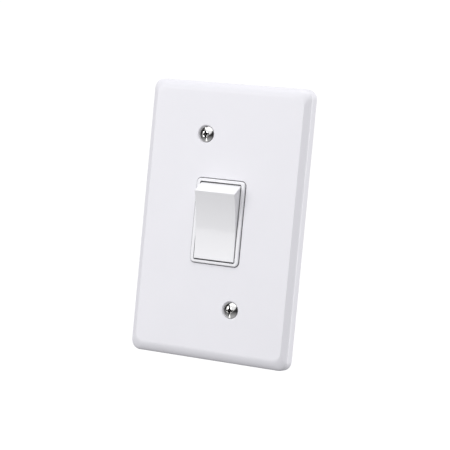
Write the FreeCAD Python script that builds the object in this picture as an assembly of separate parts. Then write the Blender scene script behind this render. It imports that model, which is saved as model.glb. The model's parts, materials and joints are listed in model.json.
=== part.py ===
import FreeCAD, Part

import math
import os

Vector = FreeCAD.Vector

# A single-lever rocker light switch on a 4 x 2 inch (100 x 50 mm box) cover plate.
# Millimetres. +Z is up, the front faces -Y, and Y = 0 is the wall. The origin is the
# middle of the plate on the wall. Depths behind the wall are positive.

# ---- Cover plate ----
plate_width = 76.0
plate_height = 118.0
plate_depth = 5.8
plate_wall = 2.0
plate_corner_radius = 4.2
rim_bevel_width = 2.8
rim_bevel_height = 4.6
rim_bevel_depth = 1.6
rim_bevel_radius = 1.6
rib_thickness = 1.2
rib_height = 0.7
opening_gap = 0.3
opening_radius = 0.7

# ---- Cover screws, on a diagonal ----
cover_screw_x = 9.7
cover_screw_z = 36.6
cover_screw_radius = 1.7
cover_screw_length = 9.0
cover_head_radius = 3.5
cover_head_dome = 1.15
dimple_margin = 0.5
boss_wall = 1.9

# ---- Screw recesses ----
cross_span = 3.9
cross_arm = 0.85
cross_foot = 1.6
cross_depth = 1.7
slot_width = 0.8
slot_depth = 0.75
tip_chamfer = 0.5
head_round = 0.5

# ---- Yoke ----
yoke_thickness = 1.2
yoke_width = 40.0
yoke_ear = 8.0
yoke_corner_radius = 5.0
yoke_return_height = 1.2
yoke_setback = 0.4
tapped_boss_wall = 0.9
tapped_boss_height = 1.4
bead_radius = 1.7
bead_wall = 0.7
bead_centre = 0.9
bead_from_window = 8.0
bead_half_length = 8.8

# ---- Box screws ----
box_screw_spacing = 84.0
box_screw_radius = 1.75
box_screw_neck_radius = 1.45
box_screw_length = 25.0
box_head_radius = 3.2
box_head_height = 1.9
box_slot_travel = 5.0
washer_thickness = 0.8
washer_radius = 3.6
neck_beyond_washer = 0.4

# ---- Earth terminal on the yoke ----
earth_x = -14.0
earth_z = -29.0
earth_screw_radius = 1.7
earth_screw_length = 3.4
earth_head_radius = 3.1
earth_head_height = 1.8
earth_washer_radius = 3.3
earth_washer_thickness = 0.7

# ---- Switch frame ----
frame_width = 23.2
frame_height = 36.1
frame_corner_radius = 1.9
frame_proud = 0.75
frame_edge_radius = 0.45
frame_side_border = 1.65
frame_end_border = 1.3
frame_lip = 1.2
frame_flange_margin = 1.5
flange_to_plate = 0.3

# ---- Rocker ----
rocker_gap = 0.3
rocker_half_travel = 9.0
rocker_pivot_depth = 8.6
rocker_face_radius = 77.0
rocker_face_half = 14.6
rocker_face_mid = 9.98
rocker_end_angle = 25.0
rocker_end_depth = 6.4
rocker_wall = 1.5
rocker_edge_radius = 0.2
trunnion_radius = 1.5
trunnion_length = 1.6
cheek_half = 3.4
cheek_root_half = 10.0
boss_bore_radius = 1.95
boss_outer_radius = 2.9
boss_reach = 4.4
web_half = 0.6
end_sweep_gap = 0.25

# ---- Plunger and spring ----
plunger_radius = 1.9
plunger_length = 6.6
plunger_nose_radius = 1.3
plunger_reach = 6.2
plunger_bore_radius = 1.5
plunger_floor = 1.2
spring_wire_radius = 0.2
spring_mean_radius = 1.0
spring_turns = 9

# ---- Rocking contact ----
blade_thickness = 0.9
blade_width = 5.0
blade_reach = 11.4
blade_slope = 12.0
blade_to_plunger = 0.09
pivot_bead_radius = 1.2
contact_arm = 9.8
contact_radius = 2.0
contact_height = 1.0
contact_dome_radius = 4.0
closed_contact_gap = 0.03
fixed_rivet_height = 0.8
rivet_tail_radius = 0.9
rivet_upset_radius = 1.4
rivet_upset_height = 0.4

# ---- Strips and terminals ----
strip_thickness = 1.0
cradle_half = 2.7
cradle_width = 6.0
cradle_clearance = 0.15
ear_thickness = 0.8
ear_half = 1.5
block_offset = 4.6
block_width = 7.2
block_length = 6.8
block_depth = 6.2
wire_bore_radius = 1.6
wire_bore_wall = 0.85
terminal_screw_radius = 1.5
terminal_screw_engaged = 1.9
terminal_head_radius = 2.5
terminal_head_height = 1.6

# ---- Housing ----
housing_side_wall = 2.25
housing_end_wall = 1.7
housing_floor = 1.8
housing_flange = 1.8
housing_flange_margin = 2.0
tower_cap = 1.9
stop_half_width = 2.0
stop_reach = 1.0
wire_entry_radius = 2.3
channel_wall = 0.8
channel_skin = 0.85
snap_offset = 9.0
snap_width = 5.0
snap_thickness = 1.2
snap_hook = 0.7
snap_hook_length = 1.8
snap_clearance = 0.15

# ---- Fits ----
running_fit = 0.05
thread_fit = 0.05
loose_fit = 0.3
touch_gap = 0.1
seat_gap = 0.02

# ---- Places that follow from the sizes ----
frame_front = -plate_depth - frame_proud
plate_underside = -plate_depth + plate_wall
yoke_back = -yoke_setback
yoke_front = yoke_back - yoke_thickness
pivot_y = frame_front + rocker_pivot_depth
opening_half_x = frame_width / 2 - frame_side_border
opening_half_z = frame_height / 2 - frame_end_border
rocker_half_x = opening_half_x - rocker_gap
end_slope = math.tan(math.radians(rocker_end_angle))
rocker_dish = rocker_face_radius - math.sqrt(rocker_face_radius ** 2 - rocker_face_half ** 2)
rocker_face_edge = rocker_face_mid + rocker_dish
rocker_skirt_y = -rocker_face_edge + rocker_end_depth
rocker_skirt_z = rocker_face_half + rocker_end_depth * end_slope
sweep_radius = math.hypot(rocker_skirt_y, rocker_skirt_z)
cavity_half_x = opening_half_x
cavity_half_z = sweep_radius + end_sweep_gap + touch_gap
collar_half_x = cavity_half_x + channel_wall + snap_thickness + 2 * snap_clearance + channel_skin
collar_half_z = cavity_half_z + housing_end_wall
body_half_x = cavity_half_x + housing_side_wall
window_half_x = collar_half_x + loose_fit
window_half_z = collar_half_z + loose_fit
blade_front_y = pivot_y + plunger_reach + plunger_nose_radius + blade_to_plunger
blade_pivot_y = blade_front_y + blade_thickness
rest_tilt = math.radians(blade_slope - rocker_half_travel)
crown_y = (
    blade_pivot_y
    - contact_arm * math.sin(rest_tilt)
    - (contact_dome_radius - contact_height) * math.cos(rest_tilt)
    + contact_dome_radius
)
fixed_face_y = crown_y + closed_contact_gap
fixed_contact_z = contact_arm * math.cos(rest_tilt) + contact_height * math.sin(rest_tilt)
strip_front_y = fixed_face_y + fixed_rivet_height
floor_front_y = strip_front_y + strip_thickness
block_inner_x = block_offset - block_width / 2
block_outer_x = block_offset + block_width / 2
block_end_z = cavity_half_z - touch_gap
block_start_z = block_end_z - block_length
block_back_y = floor_front_y + block_depth
wire_y = floor_front_y + wire_bore_wall + wire_bore_radius
screw_z = (block_start_z + block_end_z) / 2
recess_half_z = block_start_z - touch_gap - housing_end_wall
flange_front = plate_underside + flange_to_plate
flange_back = yoke_back + housing_flange
seat_end_x = rocker_half_x + trunnion_length + loose_fit
snap_inner_x = cavity_half_x + channel_wall
cover_hole_radius = cover_screw_radius + loose_fit
countersink_radius = cover_head_radius + dimple_margin
spring_seat = -rocker_face_mid + rocker_wall + touch_gap


# ---- Shared shapes ----
def block(x, y, z):
    """A box between the low and high value of each pair."""
    size = (x[1] - x[0], y[1] - y[0], z[1] - z[0])
    return Part.makeBox(*size, Vector(x[0], y[0], z[0]))


def rod_x(radius, x, y, z):
    """A cylinder along X between the pair of values x."""
    return Part.makeCylinder(radius, x[1] - x[0], Vector(x[0], y, z), Vector(1, 0, 0))


def rod_y(radius, x, y, z):
    """A cylinder along Y between the pair of values y."""
    return Part.makeCylinder(radius, y[1] - y[0], Vector(x, y[0], z), Vector(0, 1, 0))


def rod_z(radius, x, y, z):
    """A cylinder along Z between the pair of values z."""
    return Part.makeCylinder(radius, z[1] - z[0], Vector(x, y, z[0]), Vector(0, 0, 1))


def cone_y(radii, x, y, z):
    """A cone along Y, with its two radii at the pair of values y."""
    return Part.makeCone(radii[0], radii[1], y[1] - y[0], Vector(x, y[0], z), Vector(0, 1, 0))


def rounded_outline(half_x, half_z, radius, y):
    """A closed wire: a rectangle with round corners, seen from the front, at one depth."""
    edges = []
    inner_x = half_x - radius
    inner_z = half_z - radius
    turn = radius * math.sqrt(0.5)
    for sign_x, sign_z in ((1, 1), (-1, 1), (-1, -1), (1, -1)):
        centre_x = sign_x * inner_x
        centre_z = sign_z * inner_z
        on_side = Vector(centre_x + sign_x * radius, y, centre_z)
        on_end = Vector(centre_x, y, centre_z + sign_z * radius)
        middle = Vector(centre_x + sign_x * turn, y, centre_z + sign_z * turn)
        ends = (on_side, on_end) if sign_x == sign_z else (on_end, on_side)
        if edges:
            edges.append(Part.makeLine(edges[-1].lastVertex().Point, ends[0]))
        edges.append(Part.Arc(ends[0], middle, ends[1]).toShape())
    edges.append(Part.makeLine(edges[-1].lastVertex().Point, edges[0].firstVertex().Point))
    return Part.Wire(edges)


def slab(half_x, half_z, radius, y):
    """A prism with a round-cornered outline, between the pair of depths y."""
    face = Part.Face(rounded_outline(half_x, half_z, radius, y[0]))
    return face.extrude(Vector(0, y[1] - y[0], 0))


def side_profile(points, half_x):
    """A prism along X from (y, z) points. A third value marks a point that an arc passes through."""
    edges = []
    count = len(points)
    corners = [i for i in range(count) if len(points[i]) == 2]
    for place, i in enumerate(corners):
        j = corners[(place + 1) % len(corners)]
        start = Vector(-half_x, *points[i])
        end = Vector(-half_x, *points[j])
        between = points[(i + 1) % count]
        if len(between) == 3:
            edges.append(Part.Arc(start, Vector(-half_x, *between[:2]), end).toShape())
        else:
            edges.append(Part.makeLine(start, end))
    return Part.Face(Part.Wire(edges)).extrude(Vector(2 * half_x, 0, 0))


def edges_at_depth(shape, y):
    """The edges of a shape that lie wholly at one depth."""
    return [e for e in shape.Edges if all(abs(v.Point.y - y) < 1e-6 for v in e.Vertexes)]


def turned(profile, x, z):
    """A solid turned about a line along Y from (radius, y) points that start and end on it."""
    points = [Vector(x + radius, y, z) for radius, y in profile]
    face = Part.Face(Part.makePolygon(points + points[:1]))
    return face.revolve(Vector(x, 0, z), Vector(0, 1, 0), 360)


def at_rest(shape, angle, y):
    """A piece drawn about a pivot at the origin, turned about X and moved to the pivot's depth."""
    placed = shape.copy()
    placed.rotate(Vector(0, 0, 0), Vector(1, 0, 0), angle)
    placed.translate(Vector(0, y, 0))
    return placed


def save(name, shape):
    """Write one piece."""
    shape.removeSplitter().exportStep(f"parts/{name}.step")


# ---- Cover plate ----
def make_cover_plate():
    half_x = plate_width / 2
    half_z = plate_height / 2
    bevel_start = -plate_depth + rim_bevel_depth
    outline = rounded_outline(half_x, half_z, plate_corner_radius, bevel_start)
    front = rounded_outline(
        half_x - rim_bevel_width,
        half_z - rim_bevel_height,
        plate_corner_radius - rim_bevel_width / 2,
        -plate_depth,
    )
    rim = slab(half_x, half_z, plate_corner_radius, (bevel_start, 0))
    body = rim.fuse(Part.makeLoft([outline, front], True, True)).removeSplitter()
    body = body.makeFillet(rim_bevel_radius, edges_at_depth(body, bevel_start))
    hollow_radius = plate_corner_radius - plate_wall
    body = body.cut(slab(half_x - plate_wall, half_z - plate_wall, hollow_radius, (plate_underside, 1)))
    for rib in cover_ribs():
        body = body.fuse(rib)
    for sign in (-1, 1):
        x = sign * cover_screw_x
        z = -sign * cover_screw_z
        boss_radius = cover_hole_radius + boss_wall
        body = body.fuse(rod_y(boss_radius, x, (plate_underside, yoke_front - touch_gap), z))
    for sign in (-1, 1):
        x = sign * cover_screw_x
        z = -sign * cover_screw_z
        depth = countersink_radius - cover_hole_radius
        body = body.cut(rod_y(cover_hole_radius, x, (-plate_depth, 1), z))
        radii = (countersink_radius, cover_hole_radius)
        body = body.cut(cone_y(radii, x, (-plate_depth, -plate_depth + depth), z))
    opening = slab(
        frame_width / 2 + opening_gap,
        frame_height / 2 + opening_gap,
        frame_corner_radius + opening_gap,
        (-plate_depth - 1, 1),
    )
    return body.cut(opening)


def cover_ribs():
    """Stiffening ribs on the underside of the plate, clear of the switch frame."""
    half_x = plate_width / 2 - plate_wall
    half_z = plate_height / 2 - plate_wall
    side = (window_half_x + yoke_width / 2 + rib_thickness) / 2 + frame_flange_margin
    end = window_half_z + frame_flange_margin + rib_thickness + loose_fit
    depth = (plate_underside, plate_underside + rib_height)
    ribs = []
    for sign in (-1, 1):
        middle = sign * side
        across = (middle - rib_thickness / 2, middle + rib_thickness / 2)
        ribs.append(block(across, depth, (-half_z, half_z)))
        middle = sign * end
        upright = (middle - rib_thickness / 2, middle + rib_thickness / 2)
        ribs.append(block((-half_x, half_x), depth, upright))
    return ribs


# ---- Screws ----
def cross_recess(y_top, depth):
    """A tapered cross with a straight slot across it, cut down from y_top."""
    top = cross_span / 2
    foot = cross_foot / 2
    points = [(y_top, -top), (y_top, top), (y_top + depth, foot), (y_top + depth, -foot)]
    upright = side_profile(points, cross_arm / 2)
    level = upright.copy()
    level.rotate(Vector(0, 0, 0), Vector(0, 1, 0), 90)
    return upright.fuse(level)


def make_cover_screw(sign):
    """A raised countersunk screw: sign -1 is the upper left one, 1 the lower right one."""
    rim_y = -plate_depth + dimple_margin - seat_gap
    top_y = rim_y - cover_head_dome
    cone_y_end = rim_y + cover_head_radius - cover_screw_radius
    tip_y = rim_y + cover_screw_length
    profile = [
        (0, rim_y),
        (cover_head_radius, rim_y),
        (cover_screw_radius, cone_y_end),
        (cover_screw_radius, tip_y - tip_chamfer),
        (cover_screw_radius - tip_chamfer, tip_y),
        (0, tip_y),
    ]
    screw = turned(profile, 0, 0)
    dome_radius = (cover_head_radius ** 2 + cover_head_dome ** 2) / (2 * cover_head_dome)
    dome = Part.makeSphere(dome_radius, Vector(0, top_y + dome_radius, 0))
    screw = screw.fuse(dome.common(rod_y(cover_head_radius, 0, (top_y - 1, rim_y), 0)))
    screw = screw.cut(cross_recess(top_y, cross_depth))
    slot_x = (-slot_width / 2, slot_width / 2)
    slot_z = (-cover_head_radius - 1, cover_head_radius + 1)
    screw = screw.cut(block(slot_x, (top_y - 1, top_y + slot_depth), slot_z))
    screw.translate(Vector(sign * cover_screw_x, 0, -sign * cover_screw_z))
    return screw


def pan_screw(head, neck, thread, length):
    """A pan head screw drawn along +Y from the underside of its head at the origin."""
    head_radius, head_height = head
    neck_radius, neck_length = neck
    profile = [
        (0, -head_height),
        (head_radius - head_round, -head_height),
        (head_radius, -head_height + head_round),
        (head_radius, 0),
        (neck_radius, 0),
        (neck_radius, neck_length),
        (thread, neck_length),
        (thread, length - tip_chamfer),
        (thread - tip_chamfer, length),
        (0, length),
    ]
    screw = turned(profile, 0, 0)
    slot_x = (-slot_width / 2, slot_width / 2)
    slot_z = (-head_radius - 1, head_radius + 1)
    return screw.cut(block(slot_x, (-head_height - 1, -head_height + slot_depth), slot_z))


def make_box_screw(sign):
    neck_length = yoke_thickness + seat_gap + washer_thickness + neck_beyond_washer
    screw = pan_screw(
        (box_head_radius, box_head_height),
        (box_screw_neck_radius, neck_length),
        box_screw_radius,
        box_screw_length,
    )
    screw.translate(Vector(0, yoke_front - seat_gap, sign * box_screw_spacing / 2))
    return screw


def make_retaining_washer(sign):
    z = sign * box_screw_spacing / 2
    depth = (yoke_back + seat_gap, yoke_back + seat_gap + washer_thickness)
    return rod_y(washer_radius, 0, depth, z).cut(rod_y(box_screw_neck_radius + thread_fit, 0, depth, z))


def make_earth_screw():
    screw = pan_screw(
        (earth_head_radius, earth_head_height),
        (earth_screw_radius, earth_washer_thickness),
        earth_screw_radius,
        earth_screw_length,
    )
    screw.rotate(Vector(0, 0, 0), Vector(0, 0, 1), 180)
    screw.translate(Vector(earth_x, yoke_back + earth_washer_thickness + 2 * seat_gap, earth_z))
    return screw


def make_earth_cup_washer():
    """A washer with an upturned rim that keeps the wire under the head."""
    seat = yoke_back + seat_gap
    depth = (seat, seat + earth_washer_thickness)
    rim = (seat, depth[1] + earth_head_height / 2)
    cup = rod_y(earth_washer_radius + earth_washer_thickness, earth_x, rim, earth_z)
    cup = cup.cut(rod_y(earth_washer_radius, earth_x, (depth[1], rim[1] + 1), earth_z))
    return cup.cut(rod_y(earth_screw_radius + 2 * thread_fit, earth_x, depth, earth_z))


# ---- Yoke ----
def make_yoke():
    half_x = yoke_width / 2
    half_z = box_screw_spacing / 2 + yoke_ear
    yoke = slab(half_x, half_z, yoke_corner_radius, (yoke_front, yoke_back))
    return_depth = (yoke_front - yoke_return_height, yoke_front)
    return_z = (-half_z + yoke_corner_radius, half_z - yoke_corner_radius)
    for sign in (-1, 1):
        edge = sorted((sign * half_x, sign * (half_x - yoke_thickness)))
        yoke = yoke.fuse(block(edge, return_depth, return_z))
        x = sign * cover_screw_x
        z = -sign * cover_screw_z
        boss_radius = cover_screw_radius + thread_fit + tapped_boss_wall
        yoke = yoke.fuse(rod_y(boss_radius, x, (yoke_back, yoke_back + tapped_boss_height), z))
        yoke = yoke.fuse(pressed_bead(sign, bead_radius, 0))
    earth_boss = earth_screw_radius + thread_fit + tapped_boss_wall
    burr = (yoke_front - tapped_boss_height, yoke_front)
    yoke = yoke.fuse(rod_y(earth_boss, earth_x, burr, earth_z))
    for sign in (-1, 1):
        x = sign * cover_screw_x
        z = -sign * cover_screw_z
        tapped = (yoke_front - 1, yoke_back + tapped_boss_height)
        yoke = yoke.cut(rod_y(cover_screw_radius + thread_fit, x, tapped, z))
        yoke = yoke.cut(box_screw_slot(sign))
        yoke = yoke.cut(pressed_bead(sign, bead_radius - bead_wall, bead_wall))
    yoke = yoke.cut(rod_y(earth_screw_radius + thread_fit, earth_x, (burr[0], yoke_back), earth_z))
    return yoke.cut(slab(window_half_x, window_half_z, opening_radius, (yoke_front - 1, 1)))


def pressed_bead(sign, radius, end_margin):
    """One half round stiffening bead across the yoke, above or below the window."""
    z = sign * (window_half_z + bead_from_window)
    half = bead_half_length - end_margin
    bead = rod_x(radius, (-half, half), yoke_front + bead_centre, z)
    back_y = 1 if end_margin else yoke_back
    return bead.common(block((-half, half), (yoke_front - radius, back_y), (z - radius, z + radius)))


def box_screw_slot(sign):
    """A level slot for a box screw, so that the yoke can be set upright."""
    z = sign * box_screw_spacing / 2
    radius = box_screw_radius + loose_fit
    half = box_slot_travel / 2
    depth = (yoke_front - 1, 1)
    slot = block((-half, half), depth, (z - radius, z + radius))
    for end in (-half, half):
        slot = slot.fuse(rod_y(radius, end, depth, z))
    return slot


# ---- Switch frame ----
def make_switch_frame():
    outer = slab(frame_width / 2, frame_height / 2, frame_corner_radius, (frame_front, flange_front))
    outer = outer.makeFillet(frame_edge_radius, edges_at_depth(outer, frame_front))
    flange_x = window_half_x + frame_flange_margin
    flange_z = window_half_z + frame_flange_margin
    frame = outer.fuse(slab(flange_x, flange_z, frame_corner_radius, (flange_front, yoke_front)))
    lip_back = frame_front + frame_lip
    step_half_z = math.sqrt(sweep_radius ** 2 - (pivot_y - flange_front) ** 2) + end_sweep_gap
    frame = frame.cut(slab(opening_half_x, opening_half_z, opening_radius, (frame_front - 1, lip_back)))
    frame = frame.cut(slab(opening_half_x, step_half_z, opening_radius, (lip_back, flange_front)))
    frame = frame.cut(slab(cavity_half_x, cavity_half_z, opening_radius, (flange_front, yoke_front)))
    for sign_x in (-1, 1):
        tongue_x = sorted((sign_x * (cavity_half_x + touch_gap), sign_x * (seat_end_x - touch_gap)))
        tongue_y = (yoke_front, pivot_y - trunnion_radius - running_fit)
        half = trunnion_radius - touch_gap
        frame = frame.fuse(block(tongue_x, tongue_y, (-half, half)))
        for sign_z in (-1, 1):
            frame = frame.fuse(snap_arm(sign_x, sign_z))
    return frame


def snap_arm(sign_x, sign_z):
    """One arm that passes through the yoke and hooks behind the flange of the housing."""
    inner = snap_inner_x + snap_clearance
    outer = inner + snap_thickness
    hook_y = flange_back + seat_gap
    tip_y = hook_y + snap_hook_length
    z = sign_z * snap_offset
    width = (z - snap_width / 2, z + snap_width / 2)
    arm = block(sorted((sign_x * inner, sign_x * outer)), (yoke_front, tip_y), width)
    points = [
        Vector(sign_x * outer, hook_y, width[0]),
        Vector(sign_x * (outer + snap_hook), hook_y, width[0]),
        Vector(sign_x * (outer + snap_hook), hook_y + snap_hook / 2, width[0]),
        Vector(sign_x * outer, tip_y, width[0]),
    ]
    hook = Part.Face(Part.makePolygon(points + points[:1])).extrude(Vector(0, 0, snap_width))
    return arm.fuse(hook)


# ---- Rocker, drawn about its pivot with its face level ----
def make_rocker():
    shell = side_profile(
        [
            (-rocker_face_edge, rocker_face_half),
            (-rocker_face_mid, 0, True),
            (-rocker_face_edge, -rocker_face_half),
            (rocker_skirt_y, -rocker_skirt_z),
            (rocker_skirt_y, rocker_skirt_z),
        ],
        rocker_half_x,
    )
    skirt_edges = edges_at_depth(shell, rocker_skirt_y)
    shell = shell.makeFillet(rocker_edge_radius, [e for e in shell.Edges if not is_among(e, skirt_edges)])
    for sign in (-1, 1):
        shell = shell.fuse(rocker_cheek(sign))
    shell = shell.cut(rocker_hollow())
    boss_start = -rocker_face_mid + rocker_wall / 2
    inner_half = rocker_half_x - rocker_wall / 2
    web = block((-inner_half, inner_half), (boss_start, -trunnion_radius), (-web_half, web_half))
    rocker = shell.fuse(web).fuse(rod_y(boss_outer_radius, 0, (boss_start, boss_reach), 0))
    for sign in (-1, 1):
        reach = sorted((sign * inner_half, sign * (rocker_half_x + trunnion_length)))
        rocker = rocker.fuse(rod_x(trunnion_radius, reach, 0, 0))
    return rocker.cut(rod_y(boss_bore_radius, 0, (spring_seat, boss_reach + 1), 0))


def is_among(edge, others):
    """Whether an edge is one of the others."""
    return any(edge.isSame(other) for other in others)


def rocker_cheek(sign):
    """One side cheek that carries a trunnion."""
    points = [
        (rocker_skirt_y, cheek_root_half),
        (rocker_skirt_y, -cheek_root_half),
        (trunnion_radius + rocker_wall, -cheek_half),
        (trunnion_radius + rocker_wall, cheek_half),
    ]
    cheek = side_profile(points, rocker_wall / 2)
    cheek.translate(Vector(sign * (rocker_half_x - rocker_wall / 2), 0, 0))
    return cheek


def rocker_hollow():
    """The space inside the shell, open at the back."""
    inset = rocker_wall / math.cos(math.radians(rocker_end_angle))
    front_y = -rocker_face_edge + rocker_wall
    front_half = rocker_face_half + rocker_wall * end_slope - inset
    back_y = trunnion_radius + 2 * rocker_wall
    skirt_half = rocker_skirt_z - inset
    points = [
        (front_y, front_half),
        (-rocker_face_mid + rocker_wall, 0, True),
        (front_y, -front_half),
        (rocker_skirt_y, -skirt_half),
        (back_y, -skirt_half),
        (back_y, skirt_half),
        (rocker_skirt_y, skirt_half),
    ]
    return side_profile(points, rocker_half_x - rocker_wall)


def make_plunger():
    """A hollow plunger in the boss of the rocker, with a round nose."""
    shoulder = plunger_reach - plunger_nose_radius
    start = shoulder - plunger_length
    plunger = rod_y(plunger_radius, 0, (start, shoulder), 0)
    plunger = plunger.fuse(rod_y(plunger_nose_radius, 0, (shoulder, plunger_reach), 0))
    plunger = plunger.fuse(Part.makeSphere(plunger_nose_radius, Vector(0, plunger_reach, 0)))
    return plunger.cut(rod_y(plunger_bore_radius, 0, (start, shoulder - plunger_floor), 0))


def make_plunger_spring():
    """A compression spring between the boss of the rocker and the floor of the plunger."""
    low = spring_seat + spring_wire_radius + touch_gap
    high = plunger_reach - plunger_nose_radius - plunger_floor - spring_wire_radius - touch_gap
    length = high - low
    path = Part.makeHelix(length / spring_turns, length, spring_mean_radius)
    start = Vector(spring_mean_radius, 0, 0)
    section = Part.Wire(Part.makeCircle(spring_wire_radius, start, Vector(0, 1, 0)))
    spring = Part.Wire(path.Edges).makePipeShell([section], True, True)
    spring.rotate(Vector(0, 0, 0), Vector(1, 0, 0), -90)
    spring.translate(Vector(0, low, 0))
    return spring


# ---- Rocking contact, drawn about its pivot ----
def make_rocking_contact():
    """A shallow V of copper strip, with a round bead at the back that it rocks on."""
    rise = blade_reach * math.tan(math.radians(blade_slope))
    points = [
        (0, 0),
        (-rise, blade_reach),
        (-rise - blade_thickness, blade_reach),
        (-blade_thickness, 0),
        (-rise - blade_thickness, -blade_reach),
        (-rise, -blade_reach),
    ]
    blade = side_profile(points, blade_width / 2)
    bead = rod_x(pivot_bead_radius, (-blade_width / 2, blade_width / 2), 0, 0)
    around = (-blade_width, blade_width)
    back = block(around, (-blade_thickness / 2, blade_width), around)
    blade = blade.fuse(bead.common(back))
    hole = rod_y(rivet_tail_radius + seat_gap, 0, (-blade_width, blade_width), 0)
    return blade.cut(on_contact_arm(hole))


def on_contact_arm(shape):
    """Move a shape from the origin to the contact's place on the upper arm of the blade."""
    slope = math.radians(blade_slope)
    placed = shape.copy()
    placed.rotate(Vector(0, 0, 0), Vector(1, 0, 0), blade_slope)
    placed.translate(Vector(0, -contact_arm * math.sin(slope), contact_arm * math.cos(slope)))
    return placed


def make_moving_contact_rivet():
    thickness = blade_thickness * math.cos(math.radians(blade_slope))
    head = rod_y(contact_radius, 0, (0, contact_height), 0)
    dome = Part.makeSphere(contact_dome_radius, Vector(0, contact_height - contact_dome_radius, 0))
    rivet = head.common(dome)
    rivet = rivet.fuse(rod_y(rivet_tail_radius, 0, (-thickness, 0), 0))
    upset = rod_y(rivet_upset_radius, 0, (-thickness - rivet_upset_height, -thickness), 0)
    return on_contact_arm(rivet.fuse(upset))


# ---- Fixed contact, strips and terminals ----
def make_fixed_contact_rivet():
    rivet = rod_y(contact_radius, 0, (fixed_face_y, strip_front_y), fixed_contact_z)
    return rivet.fuse(rod_y(rivet_tail_radius, 0, (strip_front_y, floor_front_y), fixed_contact_z))


def make_fixed_contact_strip():
    low_z = fixed_contact_z - contact_radius - loose_fit
    pad_z = (low_z, fixed_contact_z + contact_radius + loose_fit)
    depth = (strip_front_y, floor_front_y)
    strip = block((-contact_radius - loose_fit, block_outer_x), depth, pad_z)
    strip = strip.fuse(block((block_inner_x, block_outer_x), depth, (low_z, block_end_z)))
    return strip.cut(rod_y(rivet_tail_radius + seat_gap, 0, depth, fixed_contact_z))


def make_common_strip():
    """The strip with the cradle of the rocking contact, which runs down to its terminal."""
    depth = (strip_front_y, floor_front_y)
    half = cradle_width / 2
    low_z = -2 * cradle_half
    strip = block((-block_outer_x, half), depth, (low_z, cradle_half))
    strip = strip.fuse(block((-block_outer_x, -half), depth, (-block_end_z, low_z)))
    saddle_y = (blade_pivot_y + cradle_clearance, strip_front_y)
    strip = strip.fuse(block((-half, half), saddle_y, (-cradle_half, cradle_half)))
    groove = rod_x(pivot_bead_radius + running_fit, (-half, half), blade_pivot_y, 0)
    strip = strip.cut(groove)
    for sign in (-1, 1):
        inner = blade_width / 2 + touch_gap
        ear_x = sorted((sign * inner, sign * (inner + ear_thickness)))
        ear = block(ear_x, (blade_pivot_y - blade_thickness, floor_front_y), (-ear_half, ear_half))
        strip = strip.fuse(ear)
    return strip


def make_terminal_block(sign):
    """A tunnel terminal: sign 1 is the load, at the top, and -1 the common, at the bottom."""
    body = block(
        sorted((sign * block_inner_x, sign * block_outer_x)),
        (floor_front_y, block_back_y),
        sorted((sign * block_start_z, sign * block_end_z)),
    )
    x = sign * block_offset
    body = body.cut(rod_z(wire_bore_radius, x, wire_y, (-block_end_z, block_end_z)))
    return body.cut(rod_y(terminal_screw_radius + thread_fit, x, (wire_y, block_back_y), sign * screw_z))


def make_terminal_screw(sign):
    """A terminal screw, backed off so that the tunnel is open."""
    screw = pan_screw(
        (terminal_head_radius, terminal_head_height),
        (terminal_screw_radius, terminal_screw_engaged / 2),
        terminal_screw_radius,
        terminal_screw_engaged + touch_gap,
    )
    screw.rotate(Vector(0, 0, 0), Vector(0, 0, 1), 180)
    screw.translate(Vector(sign * block_offset, block_back_y + touch_gap, sign * screw_z))
    return screw


# ---- Housing ----
def make_housing():
    collar = slab(collar_half_x, collar_half_z, opening_radius, (yoke_front + touch_gap, yoke_back))
    flange_x = collar_half_x + housing_flange_margin
    flange_z = collar_half_z + housing_flange_margin
    housing = collar.fuse(slab(flange_x, flange_z, frame_corner_radius, (yoke_back, flange_back)))
    back_y = block_back_y + touch_gap + tower_cap
    housing = housing.fuse(slab(body_half_x, collar_half_z, opening_radius, (flange_back, back_y)))
    cavity = slab(cavity_half_x, cavity_half_z, opening_radius, (yoke_front, floor_front_y))
    housing = housing.cut(cavity)
    recess_y = (floor_front_y + housing_floor, back_y)
    recess = block((-collar_half_x, collar_half_x), recess_y, (-recess_half_z, recess_half_z))
    housing = housing.cut(recess)
    for sign in (-1, 1):
        housing = housing.cut(trunnion_seat(sign))
        housing = housing.cut(terminal_space(sign, back_y))
        housing = housing.fuse(rocker_stop(sign))
        for sign_z in (-1, 1):
            housing = housing.cut(snap_channel(sign, sign_z))
    post_z = (-contact_arm - stop_reach, -contact_arm + stop_reach)
    low_tilt = math.tan(math.radians(blade_slope - rocker_half_travel))
    stop_y = blade_pivot_y + post_z[1] * low_tilt + closed_contact_gap
    return housing.fuse(block((-stop_half_width, stop_half_width), (stop_y, floor_front_y), post_z))


def trunnion_seat(sign):
    """A slot open at the front, with a round end that a trunnion turns in."""
    radius = trunnion_radius + running_fit
    x = sorted((sign * (cavity_half_x - loose_fit), sign * seat_end_x))
    return block(x, (yoke_front, pivot_y), (-radius, radius)).fuse(rod_x(radius, x, pivot_y, 0))


def terminal_space(sign, back_y):
    """The pocket of one terminal block, its screw access and its wire entry."""
    pocket_x = sorted((sign * (block_inner_x - touch_gap), sign * (block_outer_x + touch_gap)))
    pocket_z = sorted((sign * (block_start_z - touch_gap), sign * cavity_half_z))
    pocket = block(pocket_x, (floor_front_y, block_back_y + touch_gap), pocket_z)
    x = sign * block_offset
    access = rod_y(terminal_head_radius + loose_fit, x, (block_back_y, back_y), sign * screw_z)
    entry = rod_z(wire_entry_radius, x, wire_y, sorted((sign * block_end_z, sign * collar_half_z)))
    return pocket.fuse(access).fuse(entry)


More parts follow.
